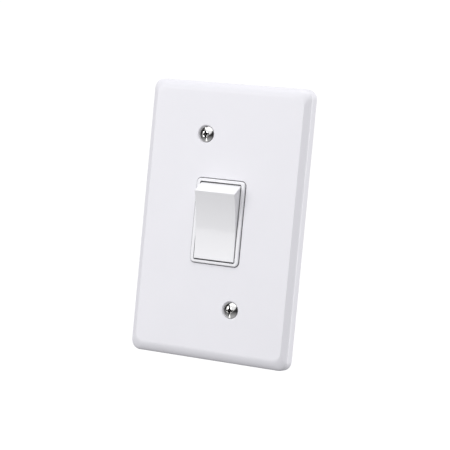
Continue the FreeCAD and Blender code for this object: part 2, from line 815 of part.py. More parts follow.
def rocker_stop(sign):
    """A ledge under one end of the rocker, beside the terminal strip."""
    turn = math.radians(rocker_half_travel)
    lowest = pivot_y + rocker_skirt_y * math.cos(turn) + rocker_skirt_z * math.sin(turn)
    ledge_x = sorted((-sign * cavity_half_x, -sign * block_inner_x))
    ledge_y = (lowest + touch_gap, lowest + touch_gap + rocker_wall)
    inner = cavity_half_z - rocker_wall - end_sweep_gap - touch_gap
    return block(ledge_x, ledge_y, sorted((sign * inner, sign * cavity_half_z)))


def snap_channel(sign_x, sign_z):
    """The way through the collar and the flange for one arm of the frame."""
    outer = snap_inner_x + snap_thickness + 2 * snap_clearance
    x = sorted((sign_x * snap_inner_x, sign_x * outer))
    z = sign_z * snap_offset
    half = snap_width / 2 + snap_clearance
    depth = (yoke_front, flange_back + snap_hook_length + loose_fit)
    return block(x, depth, (z - half, z + half))


def main():
    os.makedirs("parts", exist_ok=True)
    save("cover_plate", make_cover_plate())
    save("cover_screw_upper", make_cover_screw(-1))
    save("cover_screw_lower", make_cover_screw(1))
    save("yoke", make_yoke())
    for name, sign in (("upper", 1), ("lower", -1)):
        save(f"box_screw_{name}", make_box_screw(sign))
        save(f"retaining_washer_{name}", make_retaining_washer(sign))
    save("earth_screw", make_earth_screw())
    save("earth_cup_washer", make_earth_cup_washer())
    save("switch_frame", make_switch_frame())
    save("housing", make_housing())
    save("rocker", at_rest(make_rocker(), rocker_half_travel, pivot_y))
    save("plunger", at_rest(make_plunger(), rocker_half_travel, pivot_y))
    save("plunger_spring", at_rest(make_plunger_spring(), rocker_half_travel, pivot_y))
    save("rocking_contact", at_rest(make_rocking_contact(), -rocker_half_travel, blade_pivot_y))
    save("moving_contact_rivet", at_rest(make_moving_contact_rivet(), -rocker_half_travel, blade_pivot_y))
    save("fixed_contact_rivet", make_fixed_contact_rivet())
    save("fixed_contact_strip", make_fixed_contact_strip())
    save("common_strip", make_common_strip())
    for name, sign in (("load", 1), ("common", -1)):
        save(f"{name}_terminal_block", make_terminal_block(sign))
        save(f"{name}_terminal_screw", make_terminal_screw(sign))


main()
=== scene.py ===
"""Rocker light switch on a tall wall plate: finishes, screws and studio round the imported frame."""

import json
import logging
import math
from contextlib import contextmanager
from dataclasses import dataclass, field
from enum import Enum
from typing import Callable, ClassVar, Iterator

import bmesh
import bpy
from mathutils import Matrix, Vector


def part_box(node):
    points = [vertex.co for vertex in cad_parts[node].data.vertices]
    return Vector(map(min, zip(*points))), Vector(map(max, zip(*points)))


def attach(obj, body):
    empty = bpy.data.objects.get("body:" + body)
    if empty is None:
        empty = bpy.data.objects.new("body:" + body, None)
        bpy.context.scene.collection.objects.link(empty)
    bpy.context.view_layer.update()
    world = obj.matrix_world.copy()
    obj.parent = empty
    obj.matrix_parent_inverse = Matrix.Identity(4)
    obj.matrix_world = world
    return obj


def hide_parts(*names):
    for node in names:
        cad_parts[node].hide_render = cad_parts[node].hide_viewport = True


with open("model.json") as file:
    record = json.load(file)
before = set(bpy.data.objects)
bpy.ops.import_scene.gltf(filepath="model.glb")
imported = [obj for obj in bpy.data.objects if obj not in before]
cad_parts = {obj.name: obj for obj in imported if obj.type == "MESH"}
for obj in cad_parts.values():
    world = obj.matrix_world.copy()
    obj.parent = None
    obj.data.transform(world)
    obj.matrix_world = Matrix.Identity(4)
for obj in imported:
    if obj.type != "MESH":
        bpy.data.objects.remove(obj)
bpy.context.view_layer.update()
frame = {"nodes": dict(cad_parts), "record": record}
MM = 0.001
log = logging.getLogger("switch")

Colour = tuple[float, float, float]
Socket = bpy.types.NodeSocket


# ---- Shader groups: one effect each, shared by the finishes ----
class Wiring:
    """Adds and links nodes in one tree."""

    def __init__(self, tree: bpy.types.NodeTree) -> None:
        """Args:
            tree: the tree that the nodes go in.
        """
        self.tree = tree

    def add(self, kind: str, inputs: dict | None = None, **settings: object) -> bpy.types.Node:
        """Adds a node.

        Args:
            kind: the node type without its ShaderNode prefix.
            inputs: values or sockets for the node's inputs, by name or number.
            settings: properties of the node itself.

        Returns:
            The new node.
        """
        prefix = "" if kind.startswith("NodeGroup") else "ShaderNode"
        node = self.tree.nodes.new(prefix + kind)
        for name, value in settings.items():
            setattr(node, name, value)
        for key, value in (inputs or {}).items():
            self.feed(node, key, value)
        return node

    def feed(self, node: bpy.types.Node, key: str | int, value: object) -> None:
        """Sets or links one input.

        Args:
            node: the node that has the input.
            key: the input's name or number.
            value: a number, a colour or another node's output.
        """
        socket = node.inputs[key]
        if isinstance(value, Socket):
            self.tree.links.new(value, socket)
        elif isinstance(value, tuple) and len(value) == 3 and socket.type == "RGBA":
            socket.default_value = (*value, 1.0)
        else:
            socket.default_value = value

    def math(self, operation: str, first: object, second: object = 0.0, clamp: bool = False) -> Socket:
        """Adds a Math node.

        Args:
            operation: what it works out.
            first: its first value or socket.
            second: its second value or socket.
            clamp: whether the result is held between 0 and 1.

        Returns:
            Its output.
        """
        node = self.add("Math", {0: first, 1: second}, operation=operation, use_clamp=clamp)
        return node.outputs[0]

    def span(self, value: Socket, low: object, high: object, to_low: float, to_high: float) -> Socket:
        """Maps a value from one span to another, clamped.

        Args:
            value: the value to map.
            low: the value that becomes to_low.
            high: the value that becomes to_high.
            to_low: the start of the new span.
            to_high: the end of the new span.

        Returns:
            The mapped value.
        """
        inputs = {0: value, 1: low, 2: high, 3: to_low, 4: to_high}
        return self.add("MapRange", inputs, clamp=True).outputs[0]

    def mix(self, factor: object, first: object, second: object, blend: str = "MIX") -> Socket:
        """Mixes two colours.

        Args:
            factor: the share of the second colour.
            first: the first colour or socket.
            second: the second colour or socket.
            blend: how they are mixed.

        Returns:
            The mixed colour.
        """
        node = self.add("Mix", data_type="RGBA", blend_type=blend)
        self.feed(node, 0, factor)
        self.feed(node, 6, first)
        self.feed(node, 7, second)
        return node.outputs[2]


class Group:
    """A shader node group that is built once and placed in many materials."""

    name: str = ""
    inputs: tuple[tuple[str, float], ...] = ()
    outputs: tuple[str, ...] = ()
    _made: dict[str, bpy.types.NodeTree] = {}

    @classmethod
    def tree(cls) -> bpy.types.NodeTree:
        """Builds the group's tree on first use.

        Returns:
            The tree.
        """
        if cls.name in cls._made:
            return cls._made[cls.name]
        tree = bpy.data.node_groups.new(cls.name, "ShaderNodeTree")
        for name, value in cls.inputs:
            socket = tree.interface.new_socket(name, in_out="INPUT", socket_type="NodeSocketFloat")
            socket.default_value = value
        for name in cls.outputs:
            tree.interface.new_socket(name, in_out="OUTPUT", socket_type="NodeSocketFloat")
        wiring = Wiring(tree)
        entry = wiring.add("NodeGroupInput")
        leave = wiring.add("NodeGroupOutput")
        cls.wire(wiring, entry, leave)
        cls._made[cls.name] = tree
        return tree

    @classmethod
    def wire(cls, wiring: Wiring, entry: bpy.types.Node, leave: bpy.types.Node) -> None:
        """Builds the nodes between the group's inputs and outputs.

        Args:
            wiring: the group's wiring.
            entry: the node that holds its inputs.
            leave: the node that takes its outputs.
        """
        raise NotImplementedError

    @classmethod
    def place(cls, wiring: Wiring, **values: object) -> bpy.types.Node:
        """Places the group in a material.

        Args:
            wiring: the material's wiring.
            values: the inputs' values, by name with underscores for spaces.

        Returns:
            The group node.
        """
        node = wiring.add("Group", node_tree=cls.tree())
        for name, value in values.items():
            wiring.feed(node, name.replace("_", " "), value)
        return node


class Grain(Group):
    """Fine relief and slow unevenness of a surface, in the piece's own coordinates."""

    name = "surface grain"
    inputs = (("Fine Size", 0.5), ("Coarse Size", 8.0), ("Stretch", 1.0))
    outputs = ("Fine", "Coarse")

    @classmethod
    def wire(cls, wiring: Wiring, entry: bpy.types.Node, leave: bpy.types.Node) -> None:
        """Builds a fine and a coarse noise whose feature sizes are given in millimetres."""
        place = wiring.add("TexCoord").outputs["Object"]
        squash = wiring.add("CombineXYZ", {0: 1.0, 1: 1.0, 2: entry.outputs["Stretch"]}).outputs[0]
        along = wiring.add("VectorMath", {0: place, 1: squash}, operation="MULTIPLY").outputs[0]
        for name in ("Fine", "Coarse"):
            scale = wiring.math("DIVIDE", 1 / MM, entry.outputs[name + " Size"])
            settings = {"Vector": along, "Scale": scale, "Detail": 3.0, "Roughness": 0.55}
            wiring.feed(leave, name, wiring.add("TexNoise", settings).outputs["Fac"])


class EdgeWear(Group):
    """Where a piece's edges are, broken up the way handling wears them."""

    name = "edge wear"
    inputs = (("Width", 0.3), ("Breakup Size", 2.0))
    outputs = ("Worn",)
    turn_start, turn_full = 0.995, 0.85
    noise_start, noise_full = 0.42, 0.62

    @classmethod
    def wire(cls, wiring: Wiring, entry: bpy.types.Node, leave: bpy.types.Node) -> None:
        """Compares the rounded normal with the true one, and breaks the mask up with noise."""
        radius = wiring.math("MULTIPLY", entry.outputs["Width"], MM)
        rounded = wiring.add("Bevel", {"Radius": radius}, samples=4).outputs[0]
        true = wiring.add("NewGeometry").outputs["Normal"]
        match = wiring.add("VectorMath", {0: rounded, 1: true}, operation="DOT_PRODUCT").outputs["Value"]
        edge = wiring.span(match, cls.turn_start, cls.turn_full, 0.0, 1.0)
        place = wiring.add("TexCoord").outputs["Object"]
        scale = wiring.math("DIVIDE", 1 / MM, entry.outputs["Breakup Size"])
        noise = wiring.add("TexNoise", {"Vector": place, "Scale": scale, "Detail": 4.0}).outputs["Fac"]
        broken = wiring.span(noise, cls.noise_start, cls.noise_full, 0.0, 1.0)
        wiring.feed(leave, "Worn", wiring.math("MULTIPLY", edge, broken))


class JointShade(Group):
    """Painted shade: where a surface sits deep in a joint, so that little light gets in."""

    name = "joint_shade_colour"
    inputs = (("Reach", 1.5), ("Start", 0.6), ("Full", 0.2))
    outputs = ("Depth",)

    @classmethod
    def wire(cls, wiring: Wiring, entry: bpy.types.Node, leave: bpy.types.Node) -> None:
        """Turns how little of the surroundings a point sees into a mask for the painted shade."""
        reach = wiring.math("MULTIPLY", entry.outputs["Reach"], MM)
        open_share = wiring.add("AmbientOcclusion", {"Distance": reach}, samples=8).outputs["AO"]
        start, full = entry.outputs["Start"], entry.outputs["Full"]
        wiring.feed(leave, "Depth", wiring.span(open_share, start, full, 0.0, 1.0))


class Scuffs(Group):
    """Thin crossing hairlines, as fingers and cloths leave on a bright surface."""

    name = "hairline scuffs"
    inputs = (("Spacing", 3.0),)
    outputs = ("Lines",)
    tilt = 0.3
    turns = (0.5, -0.9)
    squash = (1.0, 1.0, 0.06)
    line_width = 0.006

    @classmethod
    def wire(cls, wiring: Wiring, entry: bpy.types.Node, leave: bpy.types.Node) -> None:
        """Builds two sets of stretched noise ridges that cross."""
        place = wiring.add("TexCoord").outputs["Object"]
        scale = wiring.math("DIVIDE", 1 / MM, entry.outputs["Spacing"])
        total: object = 0.0
        for turn in cls.turns:
            laid = {"Vector": place, "Rotation": (cls.tilt, turn, 0.0), "Scale": cls.squash}
            along = wiring.add("Mapping", laid).outputs[0]
            noise = wiring.add("TexNoise", {"Vector": along, "Scale": scale, "Detail": 2.0}).outputs["Fac"]
            off = wiring.math("ABSOLUTE", wiring.math("SUBTRACT", noise, 0.5))
            total = wiring.math("ADD", total, wiring.span(off, 0.0, cls.line_width, 1.0, 0.0))
        wiring.feed(leave, "Lines", wiring.math("MINIMUM", total, 1.0))


# ---- Finishes ----
SLOW_LOW, SLOW_HIGH = 0.1, 0.9


def start_material(name: str) -> tuple[bpy.types.Material, Wiring, bpy.types.Node]:
    """Starts a node material.

    Args:
        name: its name.

    Returns:
        The material, its wiring and its surface shader.
    """
    made = bpy.data.materials.new(name)
    made.use_nodes = True
    return made, Wiring(made.node_tree), made.node_tree.nodes["Principled BSDF"]


def lay_skin(wiring: Wiring, shader: bpy.types.Node, fine: Socket, rounding: float, relief: float) -> None:
    """Gives a surface its fine relief, over edges that catch the light.

    Args:
        wiring: the material's wiring.
        shader: its surface shader.
        fine: the relief.
        rounding: how far the edges look rounded, in millimetres.
        relief: the height of the relief, in millimetres.
    """
    rounded = wiring.add("Bevel", {"Radius": rounding * MM}, samples=4).outputs[0]
    bump = wiring.add("Bump", {"Height": fine, "Normal": rounded, "Strength": 1.0, "Distance": relief * MM})
    wiring.feed(shader, "Normal", bump.outputs[0])


@dataclass(frozen=True)
class MouldedFinish:
    """A moulded plastic: its colour, gloss and skin."""

    name: str
    colour: Colour
    shade: Colour
    roughness: float
    relief: float
    grain_size: float
    gloss: float = 0.5
    edge_width: float = 0.25
    # colour of the painted shade in joints and recesses
    joint_shade_colour: Colour = (0.10, 0.10, 0.11)
    rubbed_lift: float = 1.06
    rubbed_roughness: float = 0.08
    roughness_share: tuple[float, float] = (0.9, 1.12)

    def material(self) -> bpy.types.Material:
        """Builds the material.

        Returns:
            A material whose colour, roughness and skin vary over the surface.
        """
        made, wiring, shader = start_material(self.name)
        grain = Grain.place(wiring, Fine_Size=self.grain_size, Coarse_Size=14.0)
        wear = EdgeWear.place(wiring, Width=self.edge_width, Breakup_Size=1.6)
        slow = wiring.span(grain.outputs["Coarse"], SLOW_LOW, SLOW_HIGH, 0.0, 1.0)
        base = wiring.mix(slow, self.colour, self.shade)
        light = tuple(min(1.0, part * self.rubbed_lift) for part in self.colour)
        base = wiring.mix(wear.outputs["Worn"], base, light)
        # painted shade: joints and recesses darken towards a near-black colour
        joint_shade = JointShade.place(wiring, Reach=1.6, Start=0.6, Full=0.2).outputs["Depth"]
        wiring.feed(shader, "Base Color", wiring.mix(joint_shade, base, self.joint_shade_colour))
        smooth, dull = (self.roughness * share for share in self.roughness_share)
        rough = wiring.span(grain.outputs["Coarse"], SLOW_LOW, SLOW_HIGH, smooth, dull)
        rubbed = wiring.math("MULTIPLY", wear.outputs["Worn"], self.rubbed_roughness)
        wiring.feed(shader, "Roughness", wiring.math("ADD", rough, rubbed))
        wiring.feed(shader, "Specular IOR Level", self.gloss)
        lay_skin(wiring, shader, grain.outputs["Fine"], self.edge_width, self.relief)
        return made


@dataclass(frozen=True)
class MetalFinish:
    """A metal or plated surface: its colour, tarnish and working marks."""

    name: str
    colour: Colour
    tarnish: Colour
    roughness: float
    tarnish_share: float
    stretch: float = 1.0
    grain_size: float = 0.25
    relief: float = 0.004
    bare: Colour = (0.9, 0.89, 0.87)
    # colour of the painted shade in joints and recesses
    joint_shade_colour: Colour = (0.03, 0.03, 0.03)
    edge_round: float = 0.08
    bare_share: float = 0.7
    tarnish_roughness: float = 0.12
    scuff_roughness: float = 0.06
    roughness_share: tuple[float, float] = (0.75, 1.3)

    def material(self) -> bpy.types.Material:
        """Builds the material.

        Returns:
            A metal with drawn or rolled marks, tarnish in patches and bright edges.
        """
        made, wiring, shader = start_material(self.name)
        grain = Grain.place(wiring, Fine_Size=self.grain_size, Coarse_Size=4.0, Stretch=self.stretch)
        wear = EdgeWear.place(wiring, Width=0.12, Breakup_Size=0.7)
        scuffs = Scuffs.place(wiring, Spacing=1.1)
        patch = wiring.span(grain.outputs["Coarse"], 0.4, 0.65, 0.0, self.tarnish_share)
        base = wiring.mix(patch, self.colour, self.tarnish)
        edge = wiring.math("MULTIPLY", wear.outputs["Worn"], self.bare_share)
        base = wiring.mix(edge, base, self.bare)
        # painted shade: recesses and joints darken towards a near-black colour
        joint_shade = JointShade.place(wiring, Reach=1.6, Start=0.8, Full=0.5).outputs["Depth"]
        wiring.feed(shader, "Base Color", wiring.mix(joint_shade, base, self.joint_shade_colour))
        wiring.feed(shader, "Metallic", 1.0)
        smooth, dull = (self.roughness * share for share in self.roughness_share)
        rough = wiring.span(grain.outputs["Fine"], 0.3, 0.7, smooth, dull)
        tarnished = wiring.math("MULTIPLY", patch, self.tarnish_roughness)
        scuffed = wiring.math("MULTIPLY", scuffs.outputs["Lines"], self.scuff_roughness)
        rough = wiring.math("ADD", wiring.math("ADD", rough, tarnished), scuffed)
        wiring.feed(shader, "Roughness", rough)
        lay_skin(wiring, shader, grain.outputs["Fine"], self.edge_round, self.relief)
        return made


FINISHES = {
    "cover_plastic": MouldedFinish(
        "white urea cover", (0.80, 0.795, 0.835), (0.785, 0.782, 0.82), 0.30, 0.006, 0.9),
    "frame_plastic": MouldedFinish(
        "white frame plastic", (0.84, 0.84, 0.865), (0.825, 0.825, 0.85), 0.24, 0.004, 0.8),
    "rocker_plastic": MouldedFinish(
        "white rocker plastic", (0.875, 0.875, 0.893), (0.865, 0.865, 0.883), 0.08, 0.0012, 0.8, gloss=0.3),
    "housing_plastic": MouldedFinish(
        "grey white nylon body", (0.66, 0.67, 0.69), (0.61, 0.62, 0.645), 0.5, 0.02, 0.35),
    "plunger_nylon": MouldedFinish("natural nylon", (0.76, 0.74, 0.68), (0.70, 0.68, 0.62), 0.42, 0.006, 0.5),
    "fibre_washer": MouldedFinish("red fibre", (0.42, 0.085, 0.05), (0.30, 0.055, 0.035), 0.62, 0.05, 0.22),
    "nickel_screw": MetalFinish(
        "bright nickel", (0.74, 0.73, 0.72), (0.56, 0.54, 0.51), 0.07, 0.12, relief=0.0005),
    "zinc_plated_steel": MetalFinish(
        "zinc plated sheet", (0.60, 0.62, 0.64), (0.52, 0.50, 0.44), 0.34, 0.55, stretch=0.12, relief=0.006),
    "zinc_screw": MetalFinish("zinc screw", (0.62, 0.64, 0.66), (0.50, 0.49, 0.44), 0.28, 0.4),
    "brass_screw": MetalFinish(
        "satin brass", (0.70, 0.50, 0.22), (0.48, 0.32, 0.14), 0.3, 0.45, bare=(0.85, 0.68, 0.36)),
    "spring_steel": MetalFinish("spring wire", (0.46, 0.46, 0.47), (0.32, 0.30, 0.28), 0.26, 0.4),
    "contact_copper": MetalFinish(
        "rolled copper", (0.72, 0.36, 0.22), (0.42, 0.20, 0.13), 0.3, 0.5,
        stretch=0.15, bare=(0.88, 0.55, 0.40)),
    "contact_silver": MetalFinish("silver contact", (0.80, 0.80, 0.78), (0.60, 0.57, 0.50), 0.3, 0.35),
    "terminal_brass": MetalFinish(
        "milled brass", (0.68, 0.48, 0.20), (0.46, 0.31, 0.14), 0.27, 0.4,
        stretch=0.2, bare=(0.85, 0.68, 0.36)),
    "terminal_screw_steel": MetalFinish(
        "terminal screw steel", (0.60, 0.62, 0.64), (0.52, 0.48, 0.36), 0.3, 0.5),
}


def dress_nodes(made: dict[str, bpy.types.Material]) -> None:
    """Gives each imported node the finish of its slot.

    Args:
        made: the materials, by slot.
    """
    for row in frame["record"]["subparts"]:
        node = frame["nodes"][row["node"]]
        for place in node.material_slots:
            place.material = made[row["material_slot"]]
        log.info("%s takes the finish %s", row["node"], row["material_slot"])


# ---- Modelling bench ----
CORNER_FACETS = 10
SAME_POINT = 0.0005


def only(thing: bpy.types.Object) -> None:
    """Selects one object alone and makes it active.

    Args:
        thing: the object.
    """
    bpy.ops.object.select_all(action="DESELECT")
    thing.select_set(True)
    bpy.context.view_layer.objects.active = thing


class Kind(Enum):
    """What a selection is made of."""

    POINTS = ("VERT", "verts")
    EDGES = ("EDGE", "edges")
    FACES = ("FACE", "faces")


class Work:
    """A mesh on the bench, shaped with one tool after another. Its sizes are in millimetres."""

    def __init__(self, name: str) -> None:
        """Takes up the object that was just added.

        Args:
            name: the object's name from here on.
        """
        self.thing = bpy.context.object
        self.thing.name = name

    @classmethod
    def lathe(cls, name: str, rings: list[tuple[float, float]], sides: int = 64) -> "Work":
        """Turns a solid about +Z, one ring after another.

        Args:
            name: the object's name.
            rings: radius and height of each ring, in order.
            sides: facets round the axis.

        Returns:
            The closed solid.
        """
        radius, height = rings[0]
        bpy.ops.object.select_all(action="DESELECT")
        bpy.ops.mesh.primitive_circle_add(
            vertices=sides, radius=radius * MM, fill_type="NGON", location=(0, 0, height * MM))
        work = cls(name)
        work.settle()
        with work.editing(Kind.FACES):
            bpy.ops.mesh.select_all(action="SELECT")
            for (old, low), (new, high) in zip(rings, rings[1:]):
                work.pull((0.0, 0.0, high - low))
                work.resize((new / old, new / old, 1.0))
        work.face_outwards()
        return work

    @classmethod
    def block(cls, name: str, low: tuple[float, float, float], high: tuple[float, float, float]) -> "Work":
        """Adds a block.

        Args:
            name: the object's name.
            low: its corner with the lowest X, Y and Z.
            high: its opposite corner.

        Returns:
            The block.
        """
        middle = [(a + b) / 2 * MM for a, b in zip(low, high)]
        sides = [(b - a) * MM for a, b in zip(low, high)]
        bpy.ops.object.select_all(action="DESELECT")
        bpy.ops.mesh.primitive_cube_add(size=1.0, location=middle, scale=sides)
        work = cls(name)
        work.settle()
        return work

    @classmethod
    def outline(cls, name: str, half_x: float, half_z: float, radius: float, y: float) -> "Work":
        """Adds a flat rounded rectangle that faces -Y.

        Args:
            name: the object's name.
            half_x: half its width.
            half_z: half its height.
            radius: its corner radius.
            y: its depth.

        Returns:
            The sheet.
        """
        bpy.ops.object.select_all(action="DESELECT")
        bpy.ops.mesh.primitive_plane_add(size=1.0, location=(0, y * MM, 0), rotation=(math.pi / 2, 0, 0))
        work = cls(name)
        work.thing.scale = (2 * half_x * MM, 2 * half_z * MM, 1.0)
        work.settle()
        with work.editing(Kind.POINTS):
            bpy.ops.mesh.select_all(action="SELECT")
            bpy.ops.mesh.bevel(offset=radius * MM, segments=CORNER_FACETS, profile=0.5, affect="VERTICES")
        return work

    def settle(self) -> None:
        """Moves the object's place, turn and scale into its mesh."""
        only(self.thing)
        bpy.ops.object.transform_apply(location=True, rotation=True, scale=True)

    @contextmanager
    def editing(self, kind: Kind) -> Iterator[None]:
        """Works in edit mode with nothing selected at first.

        Args:
            kind: what is selected in it.
        """
        only(self.thing)
        bpy.ops.object.mode_set(mode="EDIT")
        bpy.ops.mesh.select_mode(type=kind.value[0])
        bpy.ops.mesh.select_all(action="DESELECT")
        yield
        bpy.ops.object.mode_set(mode="OBJECT")

    def pick(self, kind: Kind, test: Callable[[Vector], bool]) -> None:
        """Selects, in edit mode, the points, edges or faces whose middle passes a test.

        Args:
            kind: what is selected.
            test: takes a middle in millimetres.
        """
        mesh = bmesh.from_edit_mesh(self.thing.data)
        for item in getattr(mesh, kind.value[1]):
            points = [item] if kind is Kind.POINTS else item.verts
            middle = sum((point.co for point in points), Vector()) / len(points) / MM
            item.select_set(test(middle))
        mesh.select_flush_mode()
        bmesh.update_edit_mesh(self.thing.data)

    def pull(self, move: tuple[float, float, float]) -> None:
        """Extrudes the selected faces.

        Args:
            move: how far along X, Y and Z.
        """
        step = [value * MM for value in move]
        bpy.ops.mesh.extrude_region_move(TRANSFORM_OT_translate={"value": step, "orient_type": "GLOBAL"})

    def resize(self, share: tuple[float, float, float]) -> None:
        """Scales what is selected about the origin.

        Args:
            share: the scale along X, Y and Z.
        """
        bpy.ops.transform.resize(value=share, orient_type="GLOBAL", center_override=(0.0, 0.0, 0.0))

    def face_outwards(self) -> None:
        """Merges doubled points and turns all faces outwards."""
        with self.editing(Kind.FACES):
            bpy.ops.mesh.select_all(action="SELECT")
            bpy.ops.mesh.remove_doubles(threshold=SAME_POINT * MM)
            bpy.ops.mesh.normals_make_consistent(inside=False)

    def combine(self, tool: "Work", operation: str) -> None:
        """Cuts, adds or keeps the overlap with another solid, which is used up.

        Args:
            tool: the other solid.
            operation: DIFFERENCE, UNION or INTERSECT.
        """
        only(self.thing)
        step = self.thing.modifiers.new("combine", "BOOLEAN")
        step.operation = operation
        step.solver = "EXACT"
        step.object = tool.thing
        bpy.ops.object.modifier_apply(modifier=step.name)
        bpy.data.objects.remove(tool.thing)

    def round_edges(self, width: float, segments: int = 2, angle: float = 35.0) -> None:
        """Rounds the sharp edges by a bevel.

        Args:
            width: the width of the bevel.
            segments: facets across it.
            angle: edges that turn less than this stay as they are.
        """
        only(self.thing)
        step = self.thing.modifiers.new("round", "BEVEL")
        step.width = width * MM
        step.segments = segments
        step.limit_method = "ANGLE"
        step.angle_limit = math.radians(angle)
        bpy.ops.object.modifier_apply(modifier=step.name)

    def weigh_normals(self, angle: float) -> None:
        """Smooths the piece, with broad faces kept flat to the eye.

        Args:
            angle: edges sharper than this stay crisp.
        """
        only(self.thing)
        bpy.ops.object.shade_smooth_by_angle(angle=math.radians(angle))
        step = self.thing.modifiers.new("weigh", "WEIGHTED_NORMAL")
        step.weight = 100
        step.keep_sharp = True
        bpy.ops.object.modifier_apply(modifier=step.name)

    def move(self, place: Vector, turn: Matrix | None = None) -> None:
        """Turns and moves the piece, and settles it.

        Args:
            place: where its origin goes, in metres.
            turn: how it is turned about its origin first.
        """
        only(self.thing)
        self.thing.matrix_world = Matrix.Translation(place) @ (turn or Matrix.Identity(4))
        self.settle()

    def join(self, other: "Work") -> None:
        """Takes another piece into this one.

        Args:
            other: the piece, which is used up.
        """
        bpy.ops.object.select_all(action="DESELECT")
        other.thing.select_set(True)
        self.thing.select_set(True)
        bpy.context.view_layer.objects.active = self.thing
        bpy.ops.object.join()

    def finish(
            self, body: str, slot: str, material: bpy.types.Material, node: str, angle: float = 30.0) -> None:
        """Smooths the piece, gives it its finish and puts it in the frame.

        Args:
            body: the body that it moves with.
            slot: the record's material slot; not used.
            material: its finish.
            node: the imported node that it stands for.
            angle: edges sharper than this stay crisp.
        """
        self.thing.data.validate()
        self.weigh_normals(angle)
        self.thing.data.materials.clear()
        self.thing.data.materials.append(material)
        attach(self.thing, body)
        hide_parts(node)
        log.info("%s stands for %s: %d faces", self.thing.name, node, len(self.thing.data.polygons))


# ---- Screws ----
class Head(Enum):
    """The shape of a screw's head."""

    RAISED_COUNTERSUNK = "raised countersunk"
    PAN = "pan"


class Drive(Enum):
    """The recess in a screw's head."""

    CROSS_AND_SLOT = "cross and slot"
    SLOT = "slot"


